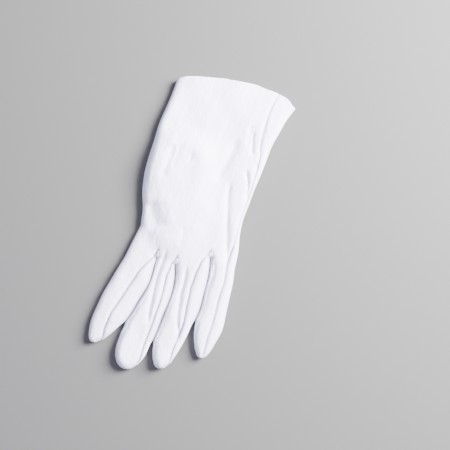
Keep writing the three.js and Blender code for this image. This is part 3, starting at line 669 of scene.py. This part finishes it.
def seam_lines(sheet):
    """The seams of the back or of the palm in plan and the edges of the gaps between fingers, then how far
    each draws the cloth in, as a share of the groove, how much painted shade it gets and how wide that
    shade is."""
    along = np.linspace(0.02, 0.97, 60)
    lines = []
    for i, finger in enumerate(FINGERS):
        p, q = finger_edge(i, "thumb_side", along), finger_edge(i, "little_side", along)
        width = np.linalg.norm(q - p, axis=1)
        narrow = np.minimum(1, width / finger["width"])
        if i > 0:
            near = (NEAR_SEAM_TOP if sheet == "back" else NEAR_SEAM_UNDER) * run_out(along)
            lines.append((p + (q - p) * (near / width)[:, None], 0.3, 0.15, SEAM_SHADE))
        if i < 3:
            far = q + (p - q) * (far_inset(sheet, i, along, narrow) / width)[:, None]
            lines.append((far, 1, 0, SEAM_SHADE))
            lines.append((far[4:], 0, 0.7, SEAM_SHADE))
            lines += [(line, 0, 1, GAP_SHADE) for line in gap_edges(i)]
    i, sign = (3, "little_side") if sheet == "back" else (0, "thumb_side")
    even = np.linspace(0, 1, 50)
    edge = np.concatenate([hand_point(4 if i else 0, even), finger_edge(i, sign, along)])
    other = np.concatenate([hand_point(3 if i else 1, even),
                            finger_edge(i, "thumb_side" if i else "little_side", along)])
    width = np.linalg.norm(other - edge, axis=1)
    narrow = np.minimum(1, width / FINGERS[i]["width"])
    share = curve(SIDE_SEAM_ALONG, SIDE_SEAM_SHARE, np.concatenate([even, 1 + along]))
    inset = (SIDE_SEAM_OVER * share if i else SIDE_SEAM_UNDER) * narrow
    lines.append((edge + (other - edge) * (inset / width)[:, None], 0.9, 0.45, SEAM_SHADE))
    return lines


def gap_edges(i):
    """The two edges that face each other beyond finger i, from the crotch to where they part."""
    share = np.linspace(CROTCH_AT, 0.9, 60)
    ends = [finger_edge(i, "little_side", share), finger_edge(i + 1, "thumb_side", share)]
    parting = PARTING[i] * settings("glove_sizes").palm_length
    return [line[line[:, 1] < parting] for line in ends]


def finger_steps(first=0.0):
    t = np.linspace(0, 1, FINGER_ROWS)
    along = mix(t, np.sin(t * math.pi / 2), 0.6)
    return np.concatenate([[first], along[along > first + 1e-6]])


def cloth_uv(place, middle_column, across_start=0.0, along_start=None):
    """How far the cloth runs across and along each point, in metres."""
    steps = np.linalg.norm(np.diff(place, axis=1), axis=2)
    u = np.concatenate([np.zeros((len(place), 1)), np.cumsum(steps, axis=1)], axis=1)
    u += across_start - u[:, middle_column:middle_column + 1]
    down = np.linalg.norm(np.diff(place, axis=0), axis=2)
    v = np.concatenate([np.zeros((1, place.shape[1])), np.cumsum(down, axis=0)], axis=0)
    return np.stack([u, v if along_start is None else v + along_start], axis=-1)


def panel_piece(panel):
    """The back or the palm: a hand that splits into four finger strips, with its hem turned in."""
    cloth = settings("glove_cloth")
    piece = Piece()
    along = np.linspace(0, 1, HAND_ROWS)
    share = curve(SIDE_SEAM_ALONG, SIDE_SEAM_SHARE, along)
    strips = [strip(panel, i, hand_point(i, along), hand_point(i + 1, along), along, share, False)
              for i in range(4)]
    joined = [np.concatenate([strips[0][k], *(part[k][:, 1:] for part in strips[1:])], axis=1)
              for k in range(3)]
    place = heights(*joined)
    uv = cloth_uv(place, place.shape[1] // 2)
    turned = panel == "back"
    cuff = np.zeros(place.shape[:2])
    cuff[0] = 1
    piece.add(place, uv, turned, hem=cuff, seam=painted_seam_shade(joined[0], panel))

    normal = grid_normals(place, turned)
    rows = int(cloth.hem / (np.linalg.norm(np.diff(place[:, place.shape[1] // 2], axis=0), axis=1)[0]))
    deep = 2 * cloth.thickness + 0.2 * MM
    inner = (place - deep * normal)[:rows + 1]
    ahead = place[0] - place[1]
    ahead /= np.linalg.norm(ahead, axis=1)[:, None]
    fold = [place[0] - deep / 2 * (1 - math.cos(a)) * normal[0] + deep / 2 * math.sin(a) * ahead
            for a in np.linspace(0, math.pi, 9)]
    hem = np.concatenate([np.array(fold), inner[1:]])
    hem_uv = cloth_uv(hem, hem.shape[1] // 2)
    hem_uv[..., 1] *= -1
    piece.add(hem, hem_uv, not turned, hem=np.ones(hem.shape[:2]))

    column = 0
    for i, part in enumerate(strips):
        cols = part[0].shape[1]
        first = uv[-1, column:column + cols]
        steps = finger_steps()
        p, q = finger_edge(i, "thumb_side", steps), finger_edge(i, "little_side", steps)
        share = curve(SIDE_SEAM_ALONG, SIDE_SEAM_SHARE, 1 + steps)
        plan, back, edge = strip(panel, i, p, q, steps, share, True)
        plan[0], edge[0] = part[0][-1], part[2][-1]
        edge[-1] = True
        finger = heights(plan, back, edge)
        half = cols // 2
        piece.add(finger, cloth_uv(finger, half, first[half, 0], first[:, 1]), turned,
                  seam=painted_seam_shade(plan, panel))
        column += cols - 1
    return piece


def grid_normals(place, turned):
    """The directions out of a grid of points."""
    along = np.gradient(place, axis=0)
    across = np.gradient(place, axis=1)
    normal = np.cross(across, along)
    normal /= np.maximum(np.linalg.norm(normal, axis=2), 1e-12)[..., None]
    return -normal if turned else normal


def side_line(i, side, along):
    """A finger's edge on one side and the seams beside it, on the back and on the palm."""
    finger = FINGERS[i]
    p = finger_edge(i, side, along)
    q = finger_edge(i, "little_side" if side == "thumb_side" else "thumb_side", along)
    width = np.linalg.norm(q - p, axis=1)
    narrow = np.minimum(1, width / finger["width"])
    if side == "little_side":
        top, under = (far_inset(sheet, i, along, narrow) for sheet in ("back", "palm"))
    else:
        top, under = NEAR_SEAM_TOP * run_out(along), NEAR_SEAM_UNDER * run_out(along)
    reach = (q - p) / width[:, None]
    return p, p + reach * top[:, None], p + reach * under[:, None]


def fourchette_piece(i):
    """The strip that lines the gap between two fingers, from near one tip round the crotch."""
    steps = finger_steps(CROTCH_AT)
    steps = steps[:np.searchsorted(steps, FOURCHETTE_END) + 1]
    turn = np.linspace(0, math.pi, 19)[1:-1]
    crotch = knuckle(KNUCKLES[i + 1])
    reach = settings("glove_sizes").finger_clearance / 2
    round_edge = crotch + reach * np.stack([np.cos(turn), -np.sin(turn)], axis=1)
    low = turn <= math.pi / 2
    one = side_line(i, "little_side", CROTCH_AT * (1 - turn / (math.pi / 2)).clip(0, 1))
    two = side_line(i + 1, "thumb_side", CROTCH_AT * (turn / (math.pi / 2) - 1).clip(0, 1))
    fan = [round_edge, *(np.where(low[:, None], one[k], two[k]) for k in (1, 2))]
    before = [line[::-1] for line in side_line(i, "little_side", steps)]
    after = side_line(i + 1, "thumb_side", steps)
    edge, top, under = (np.concatenate([before[k], fan[k], after[k]]) for k in range(3))
    share = 1 - np.cos(np.linspace(0, math.pi / 2, FOURCHETTE_CELLS + 1))
    plans = []
    for seam in (top, under):
        run = seam - edge
        length = np.linalg.norm(run, axis=1)
        kept = 1 - np.minimum(1.5 * SEAM_GAP / np.maximum(length, 1e-9), 0.12)
        plans.append(edge[:, None] + (run * kept[:, None])[:, None] * share[:, None])
    plan = np.concatenate([plans[0][:, ::-1], plans[1][:, 1:]], axis=1)
    on_back = np.broadcast_to(np.arange(plan.shape[1]) <= FOURCHETTE_CELLS, plan.shape[:2])
    on_edge = np.zeros(plan.shape[:2], bool)
    on_edge[:, FOURCHETTE_CELLS] = True
    on_edge[[0, -1]] = True
    ends = np.zeros(plan.shape[:2])
    ends[:END_ROWS] = ends[-END_ROWS:] = 1
    piece = Piece()
    place = heights(plan, on_back, on_edge)
    piece.add(place, cloth_uv(place, FOURCHETTE_CELLS), hem=ends, seam=painted_seam_shade(plan, "back") * on_back)
    return piece


def thumb_piece():
    """The thumb: a flattened tube with round ends, below the palm."""
    along = (1 - np.cos(np.linspace(0, math.pi, THUMB_ROWS))) / 2
    turn = np.linspace(0, 2 * math.pi, THUMB_SIDES + 1)
    half = thumb_half(along)
    lateral = half[:, None] * np.sign(np.cos(turn)) * np.abs(np.cos(turn)) ** 0.55
    end = np.minimum(along, 1 - along)[:, None] * THUMB_LENGTH
    side = np.clip(1 - np.minimum(half[:, None] - np.abs(lateral), end) / THUMB_ROUNDING, 0, 1)
    part = np.sqrt(1 - side * side) * np.abs(np.sin(turn))
    rim = THUMB_RIM * THUMB_HEIGHT
    plan = thumb_point(np.broadcast_to(along[:, None] * THUMB_LENGTH, lateral.shape), lateral)
    flat = plan.reshape(-1, 2)
    dent = (0.30 * MM * (waves(flat, 51, 9 * MM, stretch=2.4, turn=-15 * DEGREES) + 1.6)).clip(0, 1.2 * MM)
    seam = [thumb_point(along * THUMB_LENGTH, side * THUMB_SEAM_AT * half) for side in (-1, 1)]
    mark = np.exp(-(np.min([nearest(line, flat) for line in seam], axis=0) / SEAM_SHADE) ** 1.6)
    dent = (dent + THUMB_SEAM_DEPTH * mark).reshape(lateral.shape)
    z = rim + np.where(np.sin(turn) > 0, THUMB_HEIGHT - rim - dent, dent * 0.7 - rim) * part
    place = np.concatenate([plan - middle(), z[..., None]], axis=-1)
    place[:, -1] = place[:, 0]
    piece = Piece()
    # The thumb's seam line gets painted shade
    piece.add(place, cloth_uv(place, 0), True, seam=THUMB_SEAM_SHADE * mark)
    return piece


def weld(mesh):
    """Joins the points of neighbouring grids and drops the faces that have shrunk to nothing."""
    bm = bmesh.new()
    bm.from_mesh(mesh)
    bmesh.ops.remove_doubles(bm, verts=bm.verts, dist=WELD)
    bmesh.ops.dissolve_degenerate(bm, edges=bm.edges, dist=LEAST_EDGE)
    bmesh.ops.delete(bm, geom=[v for v in bm.verts if not v.link_faces], context="VERTS")
    return bm


def way_into_thumb(bm, above):
    """Cuts the oval way between the hand and the thumb, and draws the cut edge onto the oval."""
    centre = thumb_point(THUMB_HOLE_START + THUMB_HOLE_LENGTH / 2, 0.0) - middle()
    lean = THUMB_LEAN * DEGREES

    def share(co):
        x, y = co.x - centre[0], co.y - centre[1]
        ahead = (-x * math.sin(lean) + y * math.cos(lean)) / (THUMB_HOLE_LENGTH / 2)
        lateral = (x * math.cos(lean) + y * math.sin(lean)) / (THUMB_HOLE_WIDTH / 2)
        return math.hypot(ahead, lateral)

    cut = [f for f in bm.faces if f.calc_center_median().z > above and share(f.calc_center_median()) < 1]
    rim = {v for f in cut for v in f.verts}
    bmesh.ops.delete(bm, geom=cut, context="FACES")
    rim = {v for v in rim if v.is_valid and v.link_faces}
    for v in rim:
        grow = 1 / share(v.co)
        v.co.x = centre[0] + (v.co.x - centre[0]) * grow
        v.co.y = centre[1] + (v.co.y - centre[1]) * grow
    return rim


def seam_allowance(bm, kept):
    """Turns a narrow strip of cloth inwards along every sewn edge. The points kept, the hem and
    the pointed ends of the strips get none."""
    hem = bm.verts.layers.float["hem"]
    kept = kept | {v for v in bm.verts if v[hem] > 0.5}
    bm.normal_update()
    edges = [e for e in bm.edges if e.is_boundary and not (e.verts[0] in kept and e.verts[1] in kept)]
    for deep in ALLOWANCE:
        normals = {}
        for e in edges:
            for v in e.verts:
                normals[v] = v.normal.copy()
        made = bmesh.ops.extrude_edge_only(bm, edges=edges)["geom"]
        new = [g for g in made if isinstance(g, bmesh.types.BMVert)]
        edges = [g for g in made if isinstance(g, bmesh.types.BMEdge) and g.is_boundary
                 and g.verts[0] in new and g.verts[1] in new]
        for v in new:
            source = next(e.other_vert(v) for e in v.link_edges if e.other_vert(v) in normals)
            v.co -= normals[source] * deep
        bm.normal_update()


def finish_piece(name, bm, nodes):
    """Makes the object: a wall of cloth whose outside is the mesh, in the cotton."""
    cloth = settings("glove_cloth")
    mesh = bpy.data.meshes.new(name)
    bm.to_mesh(mesh)
    bm.free()
    mesh.polygons.foreach_set("use_smooth", [True] * len(mesh.polygons))
    obj = bpy.data.objects.new(name, mesh)
    bpy.context.collection.objects.link(obj)
    uv = np.empty(2 * len(mesh.loops))
    mesh.uv_layers["cloth"].data.foreach_get("uv", uv)
    wall = obj.modifiers.new("wall", "SOLIDIFY")
    wall.thickness = cloth.thickness
    wall.offset = -1
    mesh.materials.append(cotton())
    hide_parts(*nodes)
    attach(obj, "root")
    return obj


def cotton():
    """White cotton knit: fine wales and courses, uneven yarn, a soft sheen, faint greying in patches, and
    painted shade between the loops, along the seams and in the gaps between fingers.
    """
    found = bpy.data.materials.get("cotton_knit")
    if found:
        return found
    cloth = settings("glove_cloth")
    material = bpy.data.materials.new("cotton_knit")
    material.use_nodes = True
    nodes, links = material.node_tree.nodes, material.node_tree.links
    nodes.clear()

    def node(kind, **values):
        made = nodes.new("ShaderNode" + kind)
        for key, value in values.items():
            if key in made.inputs:
                made.inputs[key].default_value = value
            else:
                setattr(made, key, value)
        return made

    out = node("OutputMaterial")
    shader = node("BsdfPrincipled")
    shader.inputs["Sheen Weight"].default_value = 0.35
    shader.inputs["Sheen Roughness"].default_value = 0.45
    shader.inputs["Specular IOR Level"].default_value = 0.25
    links.new(shader.outputs["BSDF"], out.inputs["Surface"])
    uv = node("UVMap", uv_map="cloth")
    place = node("TexCoord")

    # Knit: the wales run along the glove and the courses across it
    pitch = 0.1 * math.pi
    wales = node("TexWave", bands_direction="X", Scale=pitch / cloth.wale)
    wales.inputs["Distortion"].default_value = 0.6
    courses = node("TexWave", bands_direction="Y", Scale=pitch / (cloth.wale * 0.8))
    courses.inputs["Distortion"].default_value = 0.6
    yarn = node("TexNoise", Scale=900.0, Detail=3.0)
    for texture in (wales, courses):
        links.new(uv.outputs["UV"], texture.inputs["Vector"])
    links.new(place.outputs["Object"], yarn.inputs["Vector"])
    loops = node("Math", operation="MULTIPLY")
    links.new(wales.outputs["Fac"], loops.inputs[0])
    links.new(courses.outputs["Fac"], loops.inputs[1])
    knit = node("Math", operation="ADD")
    links.new(loops.outputs[0], knit.inputs[0])
    links.new(yarn.outputs["Fac"], knit.inputs[1])
    bump = node("Bump", Strength=0.35, Distance=0.00012)
    links.new(knit.outputs[0], bump.inputs["Height"])

    # Soft crumple that the mesh is too coarse to hold
    crumple = node("TexNoise", Scale=95.0, Detail=4.0, Roughness=0.55)
    drawn = node("Mapping")
    drawn.inputs["Scale"].default_value = (1.0, 0.75, 1.0)
    links.new(place.outputs["Object"], drawn.inputs["Vector"])
    links.new(drawn.outputs["Vector"], crumple.inputs["Vector"])
    soft = node("Bump", Strength=0.3, Distance=0.0009)
    links.new(crumple.outputs["Fac"], soft.inputs["Height"])
    links.new(bump.outputs["Normal"], soft.inputs["Normal"])
    links.new(soft.outputs["Normal"], shader.inputs["Normal"])

    # Colour: bleached white, a little greyer in broad patches, with painted shade between the loops
    patches = node("TexNoise", Scale=28.0, Detail=3.0)
    links.new(place.outputs["Object"], patches.inputs["Vector"])
    tint = node("ValToRGB")
    white = cloth.white
    tint.color_ramp.elements[0].position = 0.3
    tint.color_ramp.elements[0].color = (white[0] * 0.92, white[1] * 0.915, white[2] * 0.97, 1)
    tint.color_ramp.elements[1].position = 0.7
    tint.color_ramp.elements[1].color = (*white, 1)
    links.new(patches.outputs["Fac"], tint.inputs["Fac"])
    # Painted shade between the loops: the loop pattern darkens the colour a little
    between = node("MixRGB", blend_type="MULTIPLY")
    between.inputs["Fac"].default_value = 0.10
    links.new(tint.outputs["Color"], between.inputs["Color1"])
    links.new(loops.outputs[0], between.inputs["Color2"])
    # Painted shade: the seam attribute darkens the colour towards grey along the seams and in the gaps
    # between fingers
    seam = node("Attribute", attribute_name="seam")
    shade = node("MixRGB", blend_type="MULTIPLY")
    shade.inputs["Color2"].default_value = (0.42, 0.41, 0.43, 1)
    links.new(seam.outputs["Fac"], shade.inputs["Fac"])
    links.new(between.outputs["Color"], shade.inputs["Color1"])
    links.new(shade.outputs["Color"], shader.inputs["Base Color"])

    # Roughness: the rubbed tops of the loops are a little smoother
    rough = node("MapRange")
    rough.inputs["To Min"].default_value = 0.96
    rough.inputs["To Max"].default_value = 0.80
    links.new(knit.outputs[0], rough.inputs["Value"])
    links.new(rough.outputs["Result"], shader.inputs["Roughness"])
    return material


class GLOVE_OT_back(bpy.types.Operator):
    """Build the back of the hand and fingers"""
    bl_idname = "glove.back"
    bl_label = "Back"

    def execute(self, context):
        bm = weld(panel_piece("back").mesh("back_cloth"))
        seam_allowance(bm, set())
        finish_piece("glove_back", bm, ["back_panel"])
        return {"FINISHED"}


class GLOVE_OT_palm(bpy.types.Operator):
    """Build the palm side of the hand and fingers"""
    bl_idname = "glove.palm"
    bl_label = "Palm"

    def execute(self, context):
        bm = weld(panel_piece("palm").mesh("palm_cloth"))
        rim = way_into_thumb(bm, PALM_CUT_ABOVE)
        seam_allowance(bm, rim)
        finish_piece("glove_palm", bm, ["palm_panel"])
        return {"FINISHED"}


class GLOVE_OT_fourchettes(bpy.types.Operator):
    """Build the three strips between the fingers"""
    bl_idname = "glove.fourchettes"
    bl_label = "Fourchettes"

    def execute(self, context):
        names = ["fourchette_index_middle", "fourchette_middle_ring", "fourchette_ring_little"]
        for i, node in enumerate(names):
            bm = weld(fourchette_piece(i).mesh(node + "_cloth"))
            seam_allowance(bm, set())
            finish_piece("glove_" + node, bm, [node])
        return {"FINISHED"}


class GLOVE_OT_thumb(bpy.types.Operator):
    """Build the thumb that lies folded under the palm"""
    bl_idname = "glove.thumb"
    bl_label = "Thumb"

    def execute(self, context):
        bm = weld(thumb_piece().mesh("thumb_cloth"))
        way_into_thumb(bm, THUMB_CUT_ABOVE)
        finish_piece("glove_thumb", bm, ["thumb"])
        return {"FINISHED"}


class GLOVE_OT_stage(bpy.types.Operator):
    """Lay the floor and set the lights and the camera"""
    bl_idname = "glove.stage"
    bl_label = "Stage"

    def execute(self, context):
        stage = settings("glove_stage")
        bpy.ops.object.select_all(action="DESELECT")
        bpy.ops.mesh.primitive_plane_add(size=6)
        floor = context.object
        floor.name = "floor"
        paint = bpy.data.materials.new("floor_paint")
        paint.use_nodes = True
        shader = paint.node_tree.nodes["Principled BSDF"]
        shader.inputs["Base Color"].default_value = (*stage.floor, 1)
        shader.inputs["Roughness"].default_value = 0.9
        floor.data.materials.append(paint)

        for name, across, ahead, above, size, power in LIGHTS:
            place = across * PICTURE_RIGHT + ahead * PICTURE_UP + [0, 0, above]
            self.light(name, place, size, power)
        world = bpy.data.worlds.new("studio")
        world.use_nodes = True
        world.node_tree.nodes["Background"].inputs["Color"].default_value = SKY_COLOUR
        world.node_tree.nodes["Background"].inputs["Strength"].default_value = 0.85
        context.scene.world = world

        lens = bpy.data.cameras.new("view")
        lens.lens, lens.sensor_width = stage.lens, SENSOR_WIDTH
        camera = bpy.data.objects.new("view", lens)
        context.collection.objects.link(camera)
        distance = stage.view_width * stage.lens / SENSOR_WIDTH
        camera.location = (*VIEW_MIDDLE, distance + VIEW_HEIGHT)
        camera.rotation_euler = (0, 0, math.atan2(PICTURE_RIGHT[1], PICTURE_RIGHT[0]))
        context.scene.camera = camera
        return {"FINISHED"}

    def light(self, name, place, size, power):
        lamp = bpy.data.lights.new(name, "AREA")
        lamp.size, lamp.energy = size, power
        lamp.color = LIGHT_COLOUR
        obj = bpy.data.objects.new(name, lamp)
        obj.location = place
        aim = Vector((0, 0, 0)) - Vector(place)
        obj.rotation_euler = aim.to_track_quat("-Z", "Y").to_euler()
        bpy.context.collection.objects.link(obj)


class GLOVE_PT_sidebar(bpy.types.Panel):
    """The pieces of the glove and its stage"""
    bl_idname = "GLOVE_PT_sidebar"
    bl_label = "Parade glove"
    bl_space_type = "VIEW_3D"
    bl_region_type = "UI"
    bl_category = "Glove"

    def draw(self, context):
        for group in ("glove_sizes", "glove_cloth", "glove_stage"):
            values = getattr(context.scene, group)
            box = self.layout.box()
            for key in values.__annotations__:
                box.prop(values, key)
        for operator in OPERATORS:
            self.layout.operator(operator.bl_idname)


OPERATORS = (GLOVE_OT_back, GLOVE_OT_palm, GLOVE_OT_fourchettes, GLOVE_OT_thumb, GLOVE_OT_stage)
CLASSES = (GloveSizes, GloveCloth, GloveStage, *OPERATORS, GLOVE_PT_sidebar)


def register():
    for kind in CLASSES:
        bpy.utils.register_class(kind)
    bpy.types.Scene.glove_sizes = bpy.props.PointerProperty(type=GloveSizes)
    bpy.types.Scene.glove_cloth = bpy.props.PointerProperty(type=GloveCloth)
    bpy.types.Scene.glove_stage = bpy.props.PointerProperty(type=GloveStage)


def unregister():
    del bpy.types.Scene.glove_stage
    del bpy.types.Scene.glove_cloth
    del bpy.types.Scene.glove_sizes
    for kind in reversed(CLASSES):
        bpy.utils.unregister_class(kind)


def main():
    register()
    bpy.ops.glove.stage()
    bpy.ops.glove.thumb()
    bpy.ops.glove.palm()
    bpy.ops.glove.fourchettes()
    bpy.ops.glove.back()


if __name__ == "__main__":
    main()
